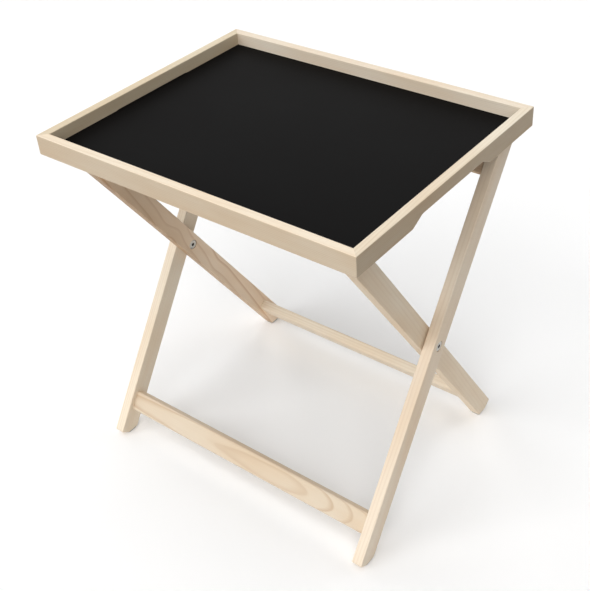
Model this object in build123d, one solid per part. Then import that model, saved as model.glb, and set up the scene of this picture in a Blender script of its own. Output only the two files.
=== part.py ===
from build123d import *
from math import asin, atan2, cos, degrees, hypot, sin, sqrt
import os

# A tray table: a lift-off tray on a cross-legged folding stand.
# Millimetres. X runs along the pivot axis, Y from front to back, Z up.
# The origin is on the floor, under the middle of the tray.

# Tray
tray_length = 600.0
tray_width = 475.0
table_height = 640.0
rail_height = 33.0
rail_thickness = 15.0
rim_height = 21.5
rail_edge_radius = 1.2
panel_thickness = 5.5
groove_depth = 5.0
panel_face_clearance = 0.1
panel_edge_clearance = 0.5

# Finger notches in the two side rails
notch_length = 164.0
notch_slope = 24.0
notch_depth = 11.8
notch_corner_radius = 12.0

# Dowels across the mitres of the tray, two above each other
mitre_dowel_diameter = 4.0
mitre_dowel_wall = 1.8
mitre_dowel_below_rim = 7.0
mitre_dowel_spacing = 8.0

# Legs
leg_width = 37.0
leg_thickness = 19.0
leg_edge_radius = 1.5
pivot_height = 320.0
leg_side_clearance = 1.0
leg_end_clearance = 0.5
tray_seat_gap = 0.3
foot_flat = 22.0
toe_radius = 4.0

# Bars that join each pair of legs
bar_width = 37.0
bar_thickness = 19.0
bar_edge_radius = 4.0
stretcher_above_heel = 53.5
top_rail_below_top = 60.5
dowel_diameter = 8.0
dowel_spacing = 18.0
dowel_depth_in_leg = 12.0
dowel_depth_in_bar = 18.0

# Clearances of fixed fits: round pieces in their holes, and the ends of those holes
fit_clearance = 0.05
hole_end_clearance = 1.0

# Pivots
washer_diameter = 22.0
washer_thickness = 2.4
head_diameter = 17.0
head_height = 3.5
head_recess = 0.8
head_clearance = 0.7
head_edge_radius = 0.6
hex_across_flats = 6.0
hex_depth = 2.4
bolt_diameter = 6.0
sleeve_diameter = 9.0
sleeve_depth_in_outer_leg = 10.0
sleeve_end_wall = 2.0
running_clearance = 0.08
side_play = 0.12

# Foot glides
glide_thickness = 3.0
glide_length = 20.0
glide_width = 16.0
glide_corner_radius = 3.0
glide_peg_diameter = 4.0
glide_peg_length = 10.0

# Places that follow from the sizes above
inner_length = tray_length - 2 * rail_thickness
inner_width = tray_width - 2 * rail_thickness
rail_bottom = table_height - rail_height
panel_top = table_height - rim_height
panel_bottom = panel_top - panel_thickness
leg_top = panel_bottom - tray_seat_gap

outer_leg_face = inner_length / 2 - leg_side_clearance
outer_leg_back = outer_leg_face - leg_thickness
inner_leg_face = outer_leg_back - washer_thickness - side_play
inner_leg_back = inner_leg_face - leg_thickness


def leg_slope():
    """Angle of a leg from the floor at which its top corner meets the tray's skirt."""
    reach = inner_width / 2 - leg_end_clearance
    rise = leg_top - pivot_height
    return atan2(rise, reach) + asin(leg_width / 2 / hypot(reach, rise))


slope = leg_slope()


def leg_point(along, across):
    """(y, z) of a point of an outer leg: up from the pivot, and towards its front face."""
    y = along * cos(slope) - across * sin(slope)
    z = pivot_height + along * sin(slope) + across * cos(slope)
    return y, z


def along_at(height, across):
    """Distance up the leg at which a line parallel to its axis passes a height."""
    return (height - pivot_height - across * cos(slope)) / sin(slope)


heel_along = along_at(glide_thickness, -leg_width / 2)
stretcher_along = heel_along + stretcher_above_heel
top_rail_along = along_at(leg_top, 0) - top_rail_below_top


def rod(radius, x_start, x_end, y, z):
    """A round bar along X."""
    length = abs(x_end - x_start)
    return Pos((x_start + x_end) / 2, y, z) * Rot(0, 90, 0) * Cylinder(radius, length)


def on_outer_frame(along):
    """Placement on the outer legs' line, with its local Z up the leg."""
    y, z = leg_point(along, 0)
    return Pos(0, y, z) * Rot(degrees(slope) - 90, 0, 0)


def mirrored_to_inner(shape):
    """The inner frame leans the other way, so its pieces are mirror images in Y."""
    return mirror(shape, about=Plane.XZ)


def mirrored_to_left(shape):
    return mirror(shape, about=Plane.YZ)


# Tray


def tray_ring():
    """The four rails as one ring, with the finger notches and the panel's groove."""
    middle = table_height - rail_height / 2
    ring = Box(tray_length, tray_width, rail_height) - Box(inner_length, inner_width, rail_height)
    ring = Pos(0, 0, middle) * ring - finger_notches()
    bends = ring.edges().filter_by(Axis.X).filter_by(is_notch_bend)
    ring = fillet(bends, notch_corner_radius)
    inner_corners = ring.edges().filter_by(Axis.Z).sort_by_distance((0, 0, middle))[:4]
    ring = fillet(ring.edges() - inner_corners, rail_edge_radius)
    groove_height = panel_thickness + 2 * panel_face_clearance
    groove = Box(inner_length + 2 * groove_depth, inner_width + 2 * groove_depth, groove_height)
    return ring - Pos(0, 0, (panel_top + panel_bottom) / 2) * groove


def is_notch_bend(edge):
    """Short edges across a side rail, where the notch bends."""
    return abs(edge.length - rail_thickness) < 0.01 and abs(edge.center().Y) < inner_width / 2


def finger_notches():
    """One prism along X that cuts both side rails from below."""
    half_top = notch_length / 2
    half_bottom = half_top + notch_slope
    outline = Polyline(
        (-half_bottom, rail_bottom),
        (-half_top, rail_bottom + notch_depth),
        (half_top, rail_bottom + notch_depth),
        (half_bottom, rail_bottom),
        close=True,
    )
    return extrude(make_face(Plane.YZ * outline), tray_length, both=True)


def front_wedge():
    """Everything between the two mitre planes at the front of the tray."""
    x, y = tray_length / 2, tray_width / 2
    spare = rail_thickness
    outline = Polyline(
        (-x - spare, -y - spare),
        (x + spare, -y - spare),
        (x - 2 * spare, -y + 2 * spare),
        (-x + 2 * spare, -y + 2 * spare),
        close=True,
    )
    return extrude(make_face(outline), table_height * 2)


def side_wedge():
    """Everything between the two mitre planes at the right of the tray."""
    x, y = tray_length / 2, tray_width / 2
    spare = rail_thickness
    outline = Polyline(
        (x + spare, -y - spare),
        (x + spare, y + spare),
        (x - 2 * spare, y - 2 * spare),
        (x - 2 * spare, -y + 2 * spare),
        close=True,
    )
    return extrude(make_face(outline), table_height * 2)


def mitre_pins(clearance):
    """Dowels, or their holes, square to the four mitres and above the panel."""
    reach = (rail_thickness / 2 - mitre_dowel_wall) * sqrt(2) - mitre_dowel_diameter / 2
    pin = Rot(0, 90, 0) * Cylinder(mitre_dowel_diameter / 2 + clearance, 2 * (reach + clearance))
    x = (tray_length - rail_thickness) / 2
    y = (tray_width - rail_thickness) / 2
    top_height = table_height - mitre_dowel_below_rim
    pins = []
    for side, end in ((1, 1), (1, -1), (-1, 1), (-1, -1)):
        for height in (top_height, top_height - mitre_dowel_spacing):
            pins.append(Pos(side * x, end * y, height) * Rot(0, 0, -45 * side * end) * pin)
    return pins


def tray_rails():
    ring = tray_ring() - mitre_pins(fit_clearance)
    front = ring & front_wedge()
    right = ring & side_wedge()
    return {
        "tray_rail_front": front,
        "tray_rail_back": mirrored_to_inner(front),
        "tray_rail_right": right,
        "tray_rail_left": mirrored_to_left(right),
    }


def tray_panel():
    reach = 2 * (groove_depth - panel_edge_clearance)
    board = Box(inner_length + reach, inner_width + reach, panel_thickness)
    return Pos(0, 0, (panel_top + panel_bottom) / 2) * board


# Legs


def leg_blank(x_back, x_face):
    """A right leg of the outer frame: flat on the floor at the heel, its toe cut square."""
    half = leg_width / 2
    toe_across = foot_flat * sin(slope) - half
    toe_along = along_at(glide_thickness, toe_across)
    outline = Polyline(
        leg_point(along_at(leg_top, -half), -half),
        leg_point(along_at(leg_top, half), half),
        leg_point(toe_along, half),
        leg_point(toe_along, toe_across),
        leg_point(heel_along, -half),
        close=True,
    )
    blank = extrude(make_face(Plane.YZ * outline), x_face - x_back)
    toe_y, toe_z = leg_point(toe_along, half)
    toe = blank.edges().filter_by(Axis.X).sort_by_distance((0, toe_y, toe_z))[0]
    blank = fillet(toe, toe_radius)
    long_edges = blank.edges() - blank.edges().filter_by(Axis.X)
    return Pos(x_back, 0, 0) * fillet(long_edges, leg_edge_radius)


def dowel_heights():
    """Distances up the leg of the two dowels at each bar's end."""
    for centre in (stretcher_along, top_rail_along):
        yield centre - dowel_spacing / 2
        yield centre + dowel_spacing / 2


def frame_dowels(leg_back, radius, end_clearance):
    """Dowels, or their holes, at the right and left ends of both bars of the outer frame."""
    x_in_leg = leg_back + dowel_depth_in_leg + end_clearance
    x_in_bar = leg_back - dowel_depth_in_bar - end_clearance
    pins = []
    for along in dowel_heights():
        y, z = leg_point(along, 0)
        for side in (1, -1):
            pins.append(rod(radius, side * x_in_leg, side * x_in_bar, y, z))
    return pins


def dowels(leg_back):
    return frame_dowels(leg_back, dowel_diameter / 2, 0)


def dowel_holes(leg_back):
    return frame_dowels(leg_back, dowel_diameter / 2 + fit_clearance, hole_end_clearance)


def glide_place():
    """Middle of the heel's flat, where a glide sits under a right outer leg."""
    half = leg_width / 2
    heel_y = leg_point(heel_along, -half)[0]
    return heel_y - foot_flat / 2


def glide_hole(x_back):
    radius = glide_peg_diameter / 2 + fit_clearance
    depth = glide_peg_length + hole_end_clearance
    place = Pos(x_back + leg_thickness / 2, glide_place(), glide_thickness)
    return place * Cylinder(radius, depth, align=(Align.CENTER, Align.CENTER, Align.MIN))


def outer_leg():
    leg = leg_blank(outer_leg_back, outer_leg_face)
    leg -= dowel_holes(outer_leg_back)
    leg -= glide_hole(outer_leg_back)
    head_seat = outer_leg_face - head_height - head_recess
    sleeve_end = outer_leg_back + sleeve_depth_in_outer_leg + hole_end_clearance
    leg -= rod(head_diameter / 2 + head_clearance, head_seat, outer_leg_face, 0, pivot_height)
    leg -= rod(bolt_diameter / 2 + fit_clearance, outer_leg_back, outer_leg_face, 0, pivot_height)
    leg -= rod(sleeve_diameter / 2 + fit_clearance, outer_leg_back, sleeve_end, 0, pivot_height)
    return leg


def inner_leg():
    leg = leg_blank(inner_leg_back, inner_leg_face)
    leg -= dowel_holes(inner_leg_back)
    leg -= glide_hole(inner_leg_back)
    head_seat = inner_leg_back + head_height + head_recess
    leg -= rod(head_diameter / 2 + head_clearance, inner_leg_back, head_seat, 0, pivot_height)
    leg -= rod(sleeve_diameter / 2 + running_clearance, inner_leg_back, inner_leg_face, 0, pivot_height)
    return mirrored_to_inner(leg)


def cross_bar(leg_back, along):
    """A rounded bar between the two legs of the outer frame, its wide face along the legs."""
    bar = Box(2 * leg_back, bar_thickness, bar_width)
    bar = fillet(bar.edges().filter_by(Axis.X), bar_edge_radius)
    return on_outer_frame(along) * bar - dowel_holes(leg_back)


# Pivots


def socket_head(x_seat, x_top):
    """A round head along X from its seat to its top, with a hexagon socket in the top."""
    head = rod(head_diameter / 2, x_seat, x_top, 0, pivot_height)
    rim = head.edges().filter_by(GeomType.CIRCLE).sort_by_distance((x_top, 0, pivot_height))[0]
    head = fillet(rim, head_edge_radius)
    hexagon = RegularPolygon(hex_across_flats / 2, 6, major_radius=False)
    inward = 1 if x_seat > x_top else -1
    socket = extrude(hexagon, hex_depth)
    return head - Pos(x_top, 0, pivot_height) * Rot(0, 90 * inward, 0) * socket


def pivot_bolt():
    """The bolt enters from the outer leg's outside and screws into the sleeve nut."""
    x_top = outer_leg_face - head_recess
    x_seat = x_top - head_height
    tip = inner_leg_back + head_recess + head_height + sleeve_end_wall
    return socket_head(x_seat, x_top) + rod(bolt_diameter / 2, tip, x_seat, 0, pivot_height)


def sleeve_nut():
    """The sleeve carries the inner leg, and reaches through the washer into the outer leg."""
    x_top = inner_leg_back + head_recess - side_play
    x_seat = x_top + head_height
    x_end = outer_leg_back + sleeve_depth_in_outer_leg
    nut = socket_head(x_seat, x_top) + rod(sleeve_diameter / 2, x_seat, x_end, 0, pivot_height)
    bore_end = inner_leg_back + head_recess + head_height + sleeve_end_wall - side_play
    return nut - rod(bolt_diameter / 2 + fit_clearance, bore_end, x_end, 0, pivot_height)


def spacer_washer():
    """A flat ring on the sleeve, against the outer leg."""
    x_in = outer_leg_back - washer_thickness
    ring = rod(washer_diameter / 2, x_in, outer_leg_back, 0, pivot_height)
    return ring - rod(sleeve_diameter / 2 + fit_clearance, x_in, outer_leg_back, 0, pivot_height)


# Feet


def foot_glide(x_back):
    """A flat pad with a peg, under a right leg of the outer frame."""
    pad = Box(glide_width, glide_length, glide_thickness, align=(Align.CENTER, Align.CENTER, Align.MIN))
    pad = fillet(pad.edges().filter_by(Axis.Z), glide_corner_radius)
    peg = Cylinder(glide_peg_diameter / 2, glide_peg_length, align=(Align.CENTER, Align.CENTER, Align.MIN))
    glide = pad + Pos(0, 0, glide_thickness) * peg
    return Pos(x_back + leg_thickness / 2, glide_place(), 0) * glide


def build():
    parts = tray_rails()
    parts["tray_panel"] = tray_panel()
    parts["tray_mitre_dowels"] = Compound(children=mitre_pins(0))

    parts["outer_leg_right"] = outer_leg()
    parts["outer_top_rail"] = cross_bar(outer_leg_back, top_rail_along)
    parts["outer_stretcher"] = cross_bar(outer_leg_back, stretcher_along)
    parts["outer_frame_dowels"] = Compound(children=dowels(outer_leg_back))

    parts["inner_leg_right"] = inner_leg()
    parts["inner_top_rail"] = mirrored_to_inner(cross_bar(inner_leg_back, top_rail_along))
    parts["inner_stretcher"] = mirrored_to_inner(cross_bar(inner_leg_back, stretcher_along))
    parts["inner_frame_dowels"] = mirrored_to_inner(Compound(children=dowels(inner_leg_back)))

    parts["pivot_bolt_right"] = pivot_bolt()
    parts["sleeve_nut_right"] = sleeve_nut()
    parts["spacer_washer_right"] = spacer_washer()

    parts["front_glide_right"] = foot_glide(outer_leg_back)
    parts["back_glide_right"] = mirrored_to_inner(foot_glide(inner_leg_back))

    for name in [name for name in parts if name.endswith("_right") and name != "tray_rail_right"]:
        parts[name.replace("_right", "_left")] = mirrored_to_left(parts[name])
    return parts


os.makedirs("parts", exist_ok=True)
for name, shape in build().items():
    export_step(shape, f"parts/{name}.step")
print("leg slope", round(degrees(slope), 2), "degrees; open angle at the pivot", round(180 - 2 * degrees(slope), 2))
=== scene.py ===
# %% [markdown]
# # A folding tray table
# The table is a shallow tray with a black panel in a frame of pale pine, which rests on a stand
# of crossed legs. We could model it all here, but the solids already have every shape, so this
# lesson only adds how they look. Each solid comes in as a Blender object whose mesh lies where
# the piece really is, in metres, and nothing has to be moved. We load the solids, give each piece
# its finish, and then set up the floor, the lamps and the camera.

from math import atan2, cos, degrees, radians, sin

import bpy
from mathutils import Matrix, Vector


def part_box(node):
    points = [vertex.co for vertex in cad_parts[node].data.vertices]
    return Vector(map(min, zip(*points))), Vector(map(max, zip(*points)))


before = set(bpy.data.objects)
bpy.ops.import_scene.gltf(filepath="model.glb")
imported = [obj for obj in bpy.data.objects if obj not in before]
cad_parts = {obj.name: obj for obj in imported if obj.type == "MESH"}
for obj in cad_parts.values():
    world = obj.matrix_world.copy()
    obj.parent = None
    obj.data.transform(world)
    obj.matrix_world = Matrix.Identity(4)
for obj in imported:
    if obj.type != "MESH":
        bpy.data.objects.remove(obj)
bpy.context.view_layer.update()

# %% [markdown]
# ## Writing a material as a sum
# A material in Blender is a graph of nodes. It could be clicked together by hand or made one node
# at a time in Python, but then even a short formula takes many lines. We wrap an output socket in
# a small class that knows + - * / and ** instead. Each operator adds one Math node, so `1 - mask`
# reads like a formula and still builds ordinary nodes, which you can open in the Shader Editor.

# %% A socket that can be added and multiplied
class Value:
    """A number that varies over a surface."""

    def __init__(self, finish, socket):
        self.finish = finish
        self.socket = socket

    def math(self, operation, first, second=0.0):
        return self.finish.node("ShaderNodeMath", {"operation": operation}, {0: first, 1: second})

    def __add__(self, other):
        return self.math("ADD", self, other)

    def __sub__(self, other):
        return self.math("SUBTRACT", self, other)

    def __rsub__(self, other):
        return self.math("SUBTRACT", other, self)

    def __mul__(self, other):
        return self.math("MULTIPLY", self, other)

    def __truediv__(self, other):
        return self.math("DIVIDE", self, other)

    def __pow__(self, other):
        return self.math("POWER", self, other)

    __radd__ = __add__
    __rmul__ = __mul__

    def sqrt(self):
        return self.math("SQRT", self)

    def fraction(self):
        return self.math("FRACT", self)

    def floor(self):
        return self.math("FLOOR", self)

    def exp(self):
        return self.math("EXPONENT", self)

    def size(self):
        return self.math("ABSOLUTE", self)


# %% [markdown]
# ## One method for every other node
# A finish starts as a Principled surface. Its `node` method takes the node's type, its settings
# and what goes into its sockets, and gives back the output as a `Value`. Settings go first,
# because a node such as Mix only shows the right sockets once its data type is chosen. A number
# or colour that is the same all over is set on the surface's own socket. The shorter methods
# below it only save typing for the nodes that come back often.

# %% A finish and its nodes
class Finish:
    """A material, with a Principled surface and a way to add nodes to it."""

    def __init__(self, name):
        self.material = bpy.data.materials.new(name)
        self.material.use_nodes = True
        self.tree = self.material.node_tree
        self.tree.nodes.clear()
        self.surface = self.tree.nodes.new("ShaderNodeBsdfPrincipled")
        output = self.tree.nodes.new("ShaderNodeOutputMaterial")
        self.tree.links.new(self.surface.outputs["BSDF"], output.inputs["Surface"])

    def node(self, kind, settings=None, sockets=None, output=0):
        made = self.tree.nodes.new(kind)
        for name, setting in (settings or {}).items():
            if name == "stops":
                self.set_stops(made.color_ramp, setting)
            else:
                setattr(made, name, setting)
        for name, value in (sockets or {}).items():
            self.put(made.inputs[name], value)
        return Value(self, made.outputs[output])

    def set_stops(self, ramp, stops):
        while len(ramp.elements) < len(stops):
            ramp.elements.new(1.0)
        for element, (place, level) in zip(ramp.elements, stops):
            element.position = place
            element.color = (level, level, level, 1.0)

    def put(self, socket, value):
        if isinstance(value, Value):
            self.tree.links.new(value.socket, socket)
        else:
            socket.default_value = value

    def set(self, **sockets):
        for name, value in sockets.items():
            self.put(self.surface.inputs[name.replace("_", " ")], value)

    def mix(self, factor, first, second, blend="MIX"):
        settings = {"data_type": "RGBA", "blend_type": blend}
        return self.node("ShaderNodeMix", settings, {0: factor, 6: first, 7: second}, output=2)

    def noise(self, place, scale=1.0, detail=2.0, roughness=0.5):
        sockets = {"Vector": place, "Scale": scale, "Detail": detail, "Roughness": roughness}
        return self.node("ShaderNodeTexNoise", None, sockets) - 0.5

    def ramp(self, value, stops):
        return self.node("ShaderNodeValToRGB", {"stops": stops}, {"Fac": value})

    def vector(self, x, y, z):
        return self.node("ShaderNodeCombineXYZ", None, {"X": x, "Y": y, "Z": z})

    def place(self):
        return self.node("ShaderNodeTexCoord", output="Object")

    def dot(self, first, second):
        settings = {"operation": "DOT_PRODUCT"}
        return self.node("ShaderNodeVectorMath", settings, {0: first, 1: second}, output="Value")

    def facing(self, direction):
        """1 where the surface faces a direction, 0 across it and -1 behind."""
        return self.dot(self.node("ShaderNodeTexCoord", output="Normal"), direction)

    def bump(self, height, distance, strength=1.0):
        sockets = {"Height": height, "Distance": distance, "Strength": strength}
        return self.node("ShaderNodeBump", None, sockets)


# %% [markdown]
# ## Colours
# A colour picker shows sRGB numbers from 0 to 255, but a shader works with linear light. We could
# write linear numbers straight away, but nobody can picture those. This helper turns one into the
# other, so that the colours in the cells below can be read as on a paint chart.

# %% From a paint chart's numbers to linear light
def srgb(red, green, blue):
    levels = []
    for number in (red, green, blue):
        share = number / 255
        levels.append(share / 12.92 if share <= 0.04045 else ((share + 0.055) / 1.055) ** 2.4)
    return (*levels, 1.0)


def grey(level):
    """A grey in linear light."""
    return (level, level, level, 1.0)


print("half way up the paint chart is", round(srgb(128, 128, 128)[0], 3), "in linear light")

# %% [markdown]
# ## Which way the grain runs
# Real boards are cut from a round trunk. A flat wood picture could be wrapped around each piece,
# but it would never meet itself at the edges. If we describe the trunk, the grain comes out right
# on all faces of a board at once: lines along its face, arches where the cut runs out of a ring,
# and arcs on its sawn ends. So each wooden piece needs three directions: along the grain, across
# its wide face, and through its thickness. They are read from the solids, so they follow any new
# size.

# %% Directions of the boards
ALONG_X = Vector((1, 0, 0))
ALONG_Y = Vector((0, 1, 0))
UP = Vector((0, 0, 1))


def centre(node):
    low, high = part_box(node)
    return (low + high) / 2


def leg_line(frame_name):
    """Direction of a leg, from the lower bar of its frame to the upper one."""
    return (centre(frame_name + "_top_rail") - centre(frame_name + "_stretcher")).normalized()


outer_line = leg_line("outer")
inner_line = leg_line("inner")
lean = degrees(atan2(outer_line.z, outer_line.y))
print("legs lean at", round(lean, 2), "degrees from the floor")

# %% [markdown]
# ## The trunk around a board
# We measure each point of a board in millimetres along, across and through it, because that is
# how rings and fibres are measured. A tree isn't a perfect cone, so its rings wander a little
# from year to year. Slow noise along the grain does that, with a quicker ripple on top. A branch
# leaves a knot, and the rings flow around it, so a knot pushes them aside where it is.

# %% Millimetres inside a board
MM = 1000.0


def board_place(finish, origin, axes):
    """Distances in millimetres from an origin, one for each of the axes."""
    sockets = {0: finish.place(), 1: origin}
    offset = finish.node("ShaderNodeVectorMath", {"operation": "SUBTRACT"}, sockets)
    return [finish.dot(offset, axis) * MM for axis in axes]


def knot_push(along, across, knot):
    """How far a knot pushes the rings aside: most at its middle, fading out along the grain."""
    x, y, length, width, push = knot
    distance = ((along - x) / length) ** 2 + ((across - y) / width) ** 2
    return (distance * -1.0).exp() * push


# %% [markdown]
# ## Rings of a trunk
# The rings are tubes around the middle of the trunk, so all we need is how far a point is from
# that middle. A board is never sawn quite in line with its trunk. That tilt is what makes the
# pointed arches on a flat-sawn face. Where the trunk itself was bent, the rings dip into the face
# and come out again, which closes the arches into ovals. A tilt can't do that, so a bent trunk
# has its own line: straight on both sides of the bend, and rounded over `BEND_ROUNDING`
# millimetres.

# %% Distance to the middle of the trunk
WANDER_LENGTH, WANDER_WIDTH = 260.0, 90.0
RIPPLE_LENGTH, RIPPLE_WIDTH = 70.0, 30.0
RIPPLE_SHARE = 0.22
WANDER_THROUGH = 0.6
BEND_ROUNDING = 60.0


def trunk_radius(finish, board, along, across, through):
    """Distance in millimetres between a point and the middle of the trunk."""
    seed, wander = board["seed"], board["wander"]
    slow = finish.vector(
        along / WANDER_LENGTH + seed, across / WANDER_WIDTH, through / WANDER_WIDTH)
    side = finish.noise(slow, detail=1.0) * wander
    quick = finish.vector(
        along / RIPPLE_LENGTH, across / RIPPLE_WIDTH + seed, through / RIPPLE_WIDTH)
    ripple = finish.noise(quick, detail=1.0) * (wander * RIPPLE_SHARE)
    y = across - board["pith"][0] + along * board["tilt"][0] + side
    z = through - board["pith"][1] + along * board["tilt"][1] + side * WANDER_THROUGH
    if board["bend"]:
        middle, steepness = board["bend"]
        z = z - ((along - middle) ** 2 + BEND_ROUNDING ** 2).sqrt() * steepness
    radius = (y * y + z * z).sqrt() + ripple
    for knot in board["knots"]:
        radius = radius + knot_push(along, across, knot)
    return radius


# %% [markdown]
# ## Spring wood and late wood
# A growth ring is pale where the wood grew in spring and darker where it grew in late summer,
# with a soft rise and a sharp end. We divide the distance by the width of a ring and keep the
# fraction: that is the place inside the ring, and a ramp turns it into pale and dark. `dense` is
# the share of the ring that is late wood. No two years are alike, so each ring also gets a
# strength of its own from white noise, which a plain wave pattern wouldn't have.

# %% The rings as pale and dark
RING_START = 0.25
LEAST_RING = 0.4


def ring_figure(finish, phase, dense, seed):
    """1 in the darkest late wood of a strong ring, near 0 in spring wood."""
    profile = [
        (0.0, RING_START),
        (0.24 * dense, 0.0),
        (1 - dense, 0.1),
        (1 - 0.28 * dense, 1.0),
        (1 - 0.06 * dense, 0.85),
        (1.0, RING_START),
    ]
    late = finish.ramp(phase.fraction(), profile)
    settings = {"noise_dimensions": "1D"}
    sockets = {"W": phase.floor() + seed}
    year = finish.node("ShaderNodeTexWhiteNoise", settings, sockets, output="Value")
    return late * (year * (1 - LEAST_RING) + LEAST_RING)


# %% [markdown]
# ## Fibres, colour and sheen
# Under the rings lie the fibres: very fine streaks, forty times longer than they are wide, which
# show up most where light grazes the wood. The clear finish on this table is matt, so the surface
# is rough, and only the dense late wood shines a little more. Sawn ends soak up more lacquer and
# look darker, which we find by comparing the surface's normal with the grain. The same comparison
# paints shade on the one face of a board that our lamps leave too bright. Nearer the middle of
# the trunk the wood can be made a shade darker, and the distance we already have tells where that
# starts. All of it could be painted by hand, but as a recipe it serves every board.

# %% The finish of one pine board
PALE = srgb(240, 228, 208)
LATE = srgb(200, 166, 128)
BLUSH = srgb(230, 206, 175)
FACE_SHADE = srgb(196, 184, 168)
CORE_DARKER = srgb(226, 219, 210)
SAWN_DARKER = 0.4
SAWN_STOPS = [(0.0, 0.0), (0.75, 0.0), (0.9, 1.0)]
FACE_SHADE_STOPS = [(0.0, 0.0), (0.6, 0.0), (0.9, 1.0)]
GRAIN_DEPTH = 0.00012


def pine(name, origin, axes, seed, pith, tilt=(0.0, 0.0), ring=3.2, wander=6.0, contrast=0.45,
         knots=(), tone=(1.0, 1.0, 1.0), aged=None, bend=None, heart=None, dense=0.5):
    finish = Finish(name)
    board = {
        "seed": seed, "pith": pith, "tilt": tilt, "wander": wander, "knots": knots, "bend": bend}
    along, across, through = board_place(finish, origin, axes)
    radius = trunk_radius(finish, board, along, across, through)
    rings = ring_figure(finish, radius / ring, dense, seed)

    streaks = finish.vector(along / 45 + seed, across / 1.1, through / 1.1)
    streak = finish.noise(streaks, detail=3.0, roughness=0.6)
    fibre = finish.noise(finish.vector(along / 12, across / 0.28 + seed, through / 0.28))
    cloud = finish.noise(finish.vector(along / 180 + seed, across / 40, through / 40))

    base = finish.mix(cloud * 1.6 + 0.35, PALE, BLUSH)
    wood = finish.mix(rings * contrast + streak * 0.22 + fibre * 0.1, base, LATE)
    sawn = finish.ramp(finish.facing(axes[0]).size(), SAWN_STOPS)
    wood = finish.mix(sawn * SAWN_DARKER, wood, LATE)
    wood = finish.mix(1.0, wood, (*tone, 1.0), blend="MULTIPLY")
    # Darker nearer the middle of the trunk, between two radii.
    if heart:
        pale_radius, heartwood = heart
        depth = (radius - pale_radius) / (heartwood - pale_radius)
        share = finish.ramp(depth, [(0.0, 0.0), (1.0, 1.0)])
        wood = finish.mix(share, wood, CORE_DARKER, blend="MULTIPLY")
    # Painted shade: the face that points the given way is darkened.
    if aged:
        outward, amount = aged
        side = finish.ramp(finish.facing(outward), FACE_SHADE_STOPS)
        wood = finish.mix(side * amount, wood, FACE_SHADE, blend="MULTIPLY")

    height = fibre * 0.5 + streak * 0.8 + rings * 0.35
    finish.set(Base_Color=wood, Roughness=0.62 - rings * 0.12 + streak * 0.1)
    finish.set(Normal=finish.bump(height, GRAIN_DEPTH, 0.6), Specular_IOR_Level=0.35)
    return finish


# %% [markdown]
# ## Giving each piece its finish
# Every board on the real table came from another part of a trunk. One material for all would
# repeat the same figure, so every board gets a finish of its own: the same recipe, with another
# distance from the middle of the trunk (`pith`), another tilt and another seed. `dress` puts a
# finish on a piece and leaves the piece where it is, and `dress_board` also makes the finish.

# %% Put a finish on a piece
dressed = {}


def dress(node, finish):
    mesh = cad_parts[node].data
    mesh.materials.clear()
    mesh.materials.append(finish.material)
    dressed[node] = finish.material.name


def dress_board(node, name, axes, seed, pith, **look):
    dress(node, pine(name, centre(node), axes, seed, pith, **look))


# %% [markdown]
# ## The tray's rails
# The four rails are planed strips, mitred at the corners. They were cut with the rings nearly
# square to the wide face, so the grain is fine, straight and quiet. The trunk's middle lies far
# off, which makes the rings almost flat inside the strip. Their outer faces look a shade darker
# than our lamps make them. Darker lamps would change the floor as well, so that one face alone
# gets painted shade.

# %% The rails
X_BOARD = (ALONG_X, UP, ALONG_Y)
Y_BOARD = (ALONG_Y, UP, ALONG_X)

# Each rail's outer face gets painted shade.
dress_board(
    "tray_rail_front", "front rail pine", X_BOARD, 3.1, (-95, 30), tilt=(0.012, 0.01),
    ring=2.6, contrast=0.26, tone=(1.03, 1.03, 1.03), aged=(-ALONG_Y, 0.5))
dress_board(
    "tray_rail_back", "back rail pine", X_BOARD, 7.7, (110, -40), tilt=(-0.01, 0.012),
    ring=2.8, contrast=0.26, tone=(0.95, 0.96, 0.985), aged=(ALONG_Y, 0.5))
dress_board(
    "tray_rail_left", "left rail pine", Y_BOARD, 12.3, (-120, 25), tilt=(0.012, -0.01),
    ring=2.6, contrast=0.28, tone=(0.85, 0.84, 0.78), aged=(-ALONG_X, 0.4))
dress_board(
    "tray_rail_right", "right rail pine", Y_BOARD, 18.9, (100, 45), tilt=(0.014, 0.01),
    ring=2.7, contrast=0.28, tone=(0.94, 0.955, 0.96), aged=(ALONG_X, 0.72))
print("rails dressed:", len(dressed))

# %% [markdown]
# ## The outer legs and the right inner leg
# The legs are sawn from wider boards, and most of them show fine straight grain too. So the
# trunk's middle again lies well outside the board. The rings are a little wider than in the
# rails, and the right inner leg comes from a fast-grown trunk, with the widest and faintest rings
# of the three.

# %% Three straight-grained legs
OUTER_LEG = (outer_line, ALONG_X.cross(outer_line), ALONG_X)
INNER_LEG = (inner_line, ALONG_X.cross(inner_line), ALONG_X)

dress_board(
    "outer_leg_right", "right outer leg pine", OUTER_LEG, 23.4, (-70, 60), tilt=(0.015, 0.01),
    ring=3.6, contrast=0.24, tone=(1.0, 0.975, 0.97))
dress_board(
    "outer_leg_left", "left outer leg pine", OUTER_LEG, 29.8, (80, 50), tilt=(-0.012, 0.01),
    ring=3.2, contrast=0.3)
dress_board(
    "inner_leg_right", "right inner leg pine", INNER_LEG, 35.2, (-60, -55), tilt=(0.012, 0.015),
    ring=4.6, contrast=0.17, tone=(0.99, 0.96, 0.93))
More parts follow.
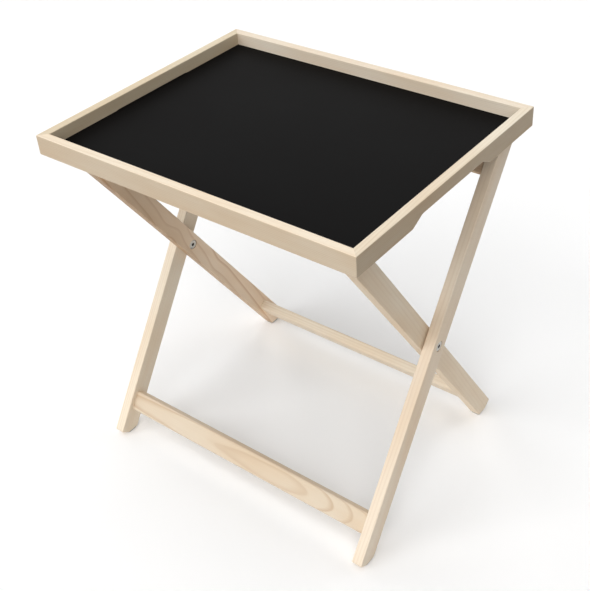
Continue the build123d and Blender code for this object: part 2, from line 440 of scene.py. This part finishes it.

# %% [markdown]
# ## The left inner leg
# This leg is the liveliest board: a few broad dark lines wander down its face. Such lines come
# from wide rings cut at a slant, with knots just beside the board that push them aside. The slant
# is the large tilt, and each knot is a place along and across the board, its length and width,
# and how far it pushes. Its top end, under the tray, lies nearer to the middle of the trunk and
# is made a shade darker there. Its wide face that looks forward and down gets painted shade.

# %% A leg with wandering rings
LEG_KNOTS = [
    (113, 0, 25, 60, 4.3),
    (67, 0, 24, 60, -7.6),
    (-75, 0, 30, 60, 6.0),
]
# One wide face of this leg gets painted shade; its top end is darker towards the trunk's middle.
dress_board(
    "inner_leg_left", "left inner leg pine", INNER_LEG, 44.6, (84.7, 3), tilt=(0.125, 0.0),
    ring=19.3, wander=4.0, contrast=0.7, knots=LEG_KNOTS, tone=(1.13, 1.05, 1.01),
    aged=(INNER_LEG[1], 0.7), heart=(118, 58), dense=0.28)
print("legs dressed:", len([node for node in dressed if "leg" in node]))

# %% [markdown]
# ## The bars
# The bars between the legs are flat-sawn, with their wide faces along the legs. On the front
# stretcher the rings run out of the face near its right end, and leave pointed arches and an oval
# there. That takes a bend in the trunk, 145 mm to the right of the middle. The other three bars
# are plain. The little that shows of the back top rail lies in the shadow under the tray, so its
# darker, redder tone is painted shade.

# %% The bars
OUTER_BAR = (ALONG_X, outer_line, ALONG_X.cross(outer_line))
INNER_BAR = (ALONG_X, inner_line, ALONG_X.cross(inner_line))

dress_board(
    "outer_stretcher", "front stretcher pine", OUTER_BAR, 47.3, (-1, 50.9), tilt=(0.0, -0.06),
    ring=5.0, wander=5.0, contrast=0.55, bend=(145, 0.08), tone=(0.84, 0.81, 0.78), dense=0.3)
# The back top rail's darker, redder tone is painted shade from the tray above.
dress_board(
    "outer_top_rail", "back top rail pine", OUTER_BAR, 53.5, (50, 40), tilt=(0.01, 0.02),
    ring=3.6, contrast=0.34, tone=(0.9, 0.79, 0.71))
dress_board(
    "inner_stretcher", "back stretcher pine", INNER_BAR, 59.1, (-30, 45), tilt=(0.02, 0.03),
    ring=3.8, contrast=0.36)
dress_board(
    "inner_top_rail", "front top rail pine", INNER_BAR, 65.9, (40, -45), tilt=(0.015, 0.02),
    ring=3.6, contrast=0.34)
print("boards dressed:", len(dressed))

# %% [markdown]
# ## The dowels
# The dowels are hidden, but a reader who takes the table apart will see them. They are turned
# from beech: pinker and denser than pine, with short dark flecks instead of rings. The pine
# recipe would give them rings, so they get a small one of their own, with stretched noise cut off
# by a ramp.

# %% Beech dowels
BEECH = srgb(214, 176, 134)
FLECK = srgb(158, 112, 74)
MIDDLE = Vector((0, 0, 0))


def beech(name, axes, seed):
    finish = Finish(name)
    along, across, through = board_place(finish, MIDDLE, axes)
    fleck = finish.vector(along / 3 + seed, across / 0.25, through / 0.25)
    streak = finish.noise(finish.vector(along / 20, across / 0.8 + seed, through / 0.8))
    spots = finish.noise(fleck, detail=1.0) + 0.5
    flecks = finish.ramp(spots, [(0.0, 0.0), (0.6, 0.0), (0.72, 1.0)])
    wood = finish.mix(flecks * 0.5 + streak * 0.4 + 0.1, BEECH, FLECK)
    finish.set(Base_Color=wood, Roughness=0.58 + streak * 0.2)
    finish.set(Normal=finish.bump(streak - flecks * 0.4, 0.0001, 0.5))
    return finish


dress("outer_frame_dowels", beech("outer frame beech", X_BOARD, 2.0))
dress("inner_frame_dowels", beech("inner frame beech", X_BOARD, 5.0))
dress("tray_mitre_dowels", beech("tray beech", X_BOARD, 9.0))
print("sets of dowels dressed:", len([node for node in dressed if "dowels" in node]))

# %% [markdown]
# ## The black panel
# The panel is a thin board with a matt black lacquer. It isn't quite flat black: the roller that
# laid the lacquer on left a very fine, even texture, and dust and wiping make the sheen vary a
# little. Seen at a slant, a shiny black board mirrors the white room and turns grey. This one
# stays black, so its specular level is nearly zero.

# %% Black lacquer
LACQUER = srgb(9, 9, 9)
DUSTY = srgb(14, 13, 13)
STIPPLE_SCALE = 1400.0


def black_lacquer():
    finish = Finish("black lacquer")
    place = finish.place()
    stipple = finish.noise(place, scale=STIPPLE_SCALE)
    haze = finish.noise(place, scale=5.0, detail=3.0, roughness=0.6)
    finish.set(Base_Color=finish.mix(haze * 0.8 + 0.5, LACQUER, DUSTY))
    finish.set(Roughness=0.5 + haze * 0.12 + stipple * 0.08)
    finish.set(Normal=finish.bump(stipple, 0.00004, 0.5), Specular_IOR_Level=0.02)
    return finish


dress("tray_panel", black_lacquer())
print("panel:", dressed["tray_panel"])

# %% [markdown]
# ## The pivots
# Each pivot is a zinc-plated bolt in a sleeve nut, both with a round head and a hexagon socket.
# Turning leaves fine rings around the axis, which runs along X, so the distance from that axis
# drives them. The sockets look nearly black, because little light gets into them. The shape of a
# socket is in the solid, but our lamps still reach its floor, so we paint shade there: inside the
# socket's radius and at its depth below the end of the head, which we read from the solid's box.

# %% Zinc-plated steel
STEEL = srgb(160, 157, 150)
BRIGHT_STEEL = srgb(198, 193, 184)
SOCKET_SHADE = srgb(46, 44, 40)
SOCKET_SPAN = 5.0
SOCKET_STOPS = [(0.0, 1.0), (0.68, 1.0), (0.72, 0.0)]
SOCKET_SHADE_STOPS = [(0.0, 0.0), (0.04, 0.0), (0.1, 1.0), (0.5, 1.0), (0.52, 0.0)]

pivot = centre("pivot_bolt_right")


def zinc(name, seed, head_end):
    finish = Finish(name)
    axis_point = Vector((0, pivot.y, pivot.z))
    along, across, up = board_place(finish, axis_point, (ALONG_X, ALONG_Y, UP))
    radius = (across * across + up * up).sqrt()
    turned = finish.noise(finish.vector(radius / 0.12, along / 0.12, seed), detail=1.0)
    bloom = finish.noise(finish.vector(along / 4, across / 4 + seed, up / 4), detail=3.0)
    steel = finish.mix(bloom * 1.2 + 0.5, STEEL, BRIGHT_STEEL)
    # Painted shade in the hexagon socket, where little light gets in.
    depth = (along - head_end * MM).size()
    socket = finish.ramp(radius / SOCKET_SPAN, SOCKET_STOPS)
    socket_shade = socket * finish.ramp(depth / SOCKET_SPAN, SOCKET_SHADE_STOPS)
    steel = finish.mix(socket_shade * 0.8, steel, SOCKET_SHADE)
    finish.set(Base_Color=steel, Roughness=0.32 + bloom * 0.22 + turned * 0.08)
    finish.set(Normal=finish.bump(turned, 0.00002, 0.5), Metallic=1.0)
    return finish


def end_of(node, direction):
    """Where a piece ends along X, towards the right (1) or the left (-1)."""
    low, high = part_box(node)
    return centre(node).x + direction * (high - low).x / 2


for side, outward, seed in (("right", 1, 1.0), ("left", -1, 6.0)):
    bolt, nut = "pivot_bolt_" + side, "sleeve_nut_" + side
    dress(bolt, zinc(side + " bolt zinc", seed, end_of(bolt, outward)))
    dress(nut, zinc(side + " sleeve nut zinc", seed + 2.5, end_of(nut, -outward)))
    print(side, "heads end at", round(end_of(bolt, outward), 4), round(end_of(nut, -outward), 4))

# %% [markdown]
# ## The washers and the feet
# The washers that keep the legs apart are milky nylon. The glides under the feet are moulded in
# grey plastic with a fine spark-eroded texture, which scuffs paler where it slides on the floor.
# One recipe with other colours serves both. The height above the floor tells where the scuffs
# are, so nothing has to be painted on.

# %% Moulded plastics
SCUFF_HEIGHT = 2.0
NYLON, WORN_NYLON = srgb(214, 210, 200), srgb(198, 194, 184)
GLIDE, WORN_GLIDE = srgb(176, 172, 165), srgb(196, 192, 185)


def moulded(name, colour, worn, grain, seed):
    finish = Finish(name)
    place = finish.place()
    stipple = finish.noise(place, scale=grain)
    scuff = finish.noise(place, scale=160.0 + seed, detail=4.0, roughness=0.7)
    height = board_place(finish, MIDDLE, (UP,))[0]
    low = finish.ramp(height / SCUFF_HEIGHT, [(0.0, 1.0), (1.0, 0.0)])
    finish.set(Base_Color=finish.mix(low * 0.5 + scuff * 0.5 + 0.1, colour, worn))
    finish.set(Roughness=0.5 + scuff * 0.25 + stipple * 0.1)
    finish.set(Normal=finish.bump(stipple, 0.00005, 0.5))
    return finish


nylon = moulded("nylon washer", NYLON, WORN_NYLON, 2600.0, 0.0)
for side in ("right", "left"):
    dress("spacer_washer_" + side, nylon)
    for end, seed in (("front", 3.0), ("back", 8.0)):
        glide = moulded(end + " glide " + side, GLIDE, WORN_GLIDE, 2200.0, seed)
        dress(end + "_glide_" + side, glide)

print("finishes:", len(set(dressed.values())))
print("pieces without one:", sorted(set(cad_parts) - set(dressed)))

# %% [markdown]
# ## The floor
# The table stands on a seamless white sheet. A strong lamp would make any floor white, but it
# would bleach the wood too. So the floor's colour is white only for rays that come straight from
# the camera, or by way of a shiny surface. For all other rays the sheet is a plain pale grey, and
# beyond it the room's floor is darker, so that little light comes back up at the table. The floor
# still takes the table's shadow. It lies a hair below zero, so that it never flickers against the
# glides.

# %% A white floor
FLOOR_HALF = 9.0
FLOOR_DROP = 0.0002
SHEET_RADIUS = 1.5
SHEET_COLOUR = 0.85
ROOM_FLOOR_COLOUR = 0.12
FLOOR_SEEN = 1.0


def white_floor():
    signs = [(-1, -1), (1, -1), (1, 1), (-1, 1)]
    corners = [(x * FLOOR_HALF, y * FLOOR_HALF, -FLOOR_DROP) for x, y in signs]
    mesh = bpy.data.meshes.new("studio_floor")
    mesh.from_pydata(corners, [], [(0, 1, 2, 3)])
    floor = bpy.data.objects.new("studio_floor", mesh)
    bpy.context.scene.collection.objects.link(floor)
    finish = Finish("studio white")
    settings = {"operation": "LENGTH"}
    distance = finish.node("ShaderNodeVectorMath", settings, {0: finish.place()}, output="Value")
    edge = [(0.0, 0.0), (0.4, 0.0), (0.6, 1.0)]
    off_sheet = finish.ramp(distance / (2 * SHEET_RADIUS), edge)
    real = finish.mix(off_sheet, grey(SHEET_COLOUR), grey(ROOM_FLOOR_COLOUR))
    straight = finish.node("ShaderNodeLightPath", output="Is Camera Ray")
    mirrored = finish.node("ShaderNodeLightPath", output="Is Glossy Ray")
    seen = straight.math("MAXIMUM", straight, mirrored)
    finish.set(Base_Color=finish.mix(seen, real, grey(FLOOR_SEEN)), Roughness=1.0)
    finish.set(Specular_IOR_Level=0.0)
    mesh.materials.append(finish.material)
    return floor


floor = white_floor()
print("floor:", [round(side, 1) for side in floor.dimensions], "metres")

# %% [markdown]
# ## Light
# The table stands in a ring of large soft lamps. Most light comes from the front, some from the
# left, above and behind, and none from the right, which is why the right-hand faces are the
# darkest. Area lamps could do it, but they light a near corner more than a far one. A sun lamp
# with a wide angle looks like a softbox of that size from everywhere, so the floor is evenly lit
# and the shadow has soft edges. Azimuth 0 is to the right, 90 behind the table and 270 in front
# of it.

# %% Softboxes
SOFTBOX_ANGLE = radians(40)
SOFTBOXES = {
    "overhead": (0, 90, 0.52),
    "front_right_high": (300, 60, 0.69),
    "front_left_high": (240, 60, 0.16),
    "back_left_high": (120, 60, 0.24),
    "front_right_low": (300, 30, 0.94),
    "front_left_low": (240, 30, 1.17),
    "left_low": (180, 30, 0.82),
    "back_left_low": (120, 30, 0.23),
    "back_right_low": (60, 30, 0.52),
}


def softbox(name, azimuth_deg, elevation_deg, strength):
    """A wide sun lamp that shines from an azimuth and elevation towards the table."""
    lamp = bpy.data.lights.new(name, "SUN")
    lamp.energy = strength
    lamp.angle = SOFTBOX_ANGLE
    azimuth, elevation = radians(azimuth_deg), radians(elevation_deg)
    level = cos(elevation)
    direction = Vector((cos(azimuth) * level, sin(azimuth) * level, sin(elevation)))
    holder = bpy.data.objects.new(name, lamp)
    holder.rotation_mode = "QUATERNION"
    holder.rotation_quaternion = direction.to_track_quat("Z", "Y")
    bpy.context.scene.collection.objects.link(holder)


for name, (azimuth_deg, elevation_deg, strength) in SOFTBOXES.items():
    softbox(name, azimuth_deg, elevation_deg, strength)
print("softboxes:", len(SOFTBOXES))

# %% [markdown]
# ## The room
# The room itself adds no light: the lamps do that, and their strengths are easier to set with
# nothing else shining. It only shows as white behind the floor's edge, and in the zinc. So the
# world mixes a black and a white background by the kind of ray that meets it.

# %% The room
def white_room():
    world = bpy.data.worlds.new("white room")
    world.use_nodes = True
    tree = world.node_tree
    dark = tree.nodes["Background"]
    dark.inputs["Color"].default_value = grey(0.0)
    white = tree.nodes.new("ShaderNodeBackground")
    white.inputs["Color"].default_value = grey(1.0)
    rays = tree.nodes.new("ShaderNodeLightPath")
    either = tree.nodes.new("ShaderNodeMath")
    either.operation = "MAXIMUM"
    choice = tree.nodes.new("ShaderNodeMixShader")
    tree.links.new(rays.outputs["Is Camera Ray"], either.inputs[0])
    tree.links.new(rays.outputs["Is Glossy Ray"], either.inputs[1])
    tree.links.new(either.outputs[0], choice.inputs[0])
    tree.links.new(dark.outputs[0], choice.inputs[1])
    tree.links.new(white.outputs[0], choice.inputs[2])
    tree.links.new(choice.outputs[0], tree.nodes["World Output"].inputs["Surface"])
    bpy.context.scene.world = world


white_room()
print("world:", bpy.context.scene.world.name)

# %% [markdown]
# ## The camera
# The picture is taken from the front right, a good way above the tray. A camera could be placed
# by eye, but then edges drift by several pixels. Here the lens, place and roll came from fitting
# the edges of the table, and the small shift puts the picture's centre where the lens looked. The
# view transform stays Standard, so a colour shows as it was written.

# %% Place the camera
LENS_PIXELS = 1007.0
PICTURE = (590, 591)
LENS_CENTRE = (320.2, 289.3)
SENSOR_WIDTH = 36.0
AZIMUTH, ELEVATION, ROLL = radians(38.74), radians(36.94), radians(-3.50)
CAMERA_PLACE = (0.8997, -1.0596, 1.3585)

lens = bpy.data.cameras.new("camera")
lens.sensor_fit = "HORIZONTAL"
lens.sensor_width = SENSOR_WIDTH
lens.lens = LENS_PIXELS / PICTURE[0] * SENSOR_WIDTH
lens.shift_x = (PICTURE[0] / 2 - LENS_CENTRE[0]) / PICTURE[0]
lens.shift_y = (LENS_CENTRE[1] - PICTURE[1] / 2) / PICTURE[0]
camera = bpy.data.objects.new("camera", lens)

turn = Matrix.Rotation(AZIMUTH, 3, "Z") @ Matrix.Rotation(radians(90) - ELEVATION, 3, "X")
turn = turn @ Matrix.Rotation(ROLL, 3, "Z")
camera.matrix_world = Matrix.Translation(CAMERA_PLACE) @ turn.to_4x4()
bpy.context.scene.collection.objects.link(camera)
bpy.context.scene.camera = camera
bpy.context.scene.view_settings.view_transform = "Standard"
print("lens", round(lens.lens, 2), "mm, shift", round(lens.shift_x, 4), round(lens.shift_y, 4))
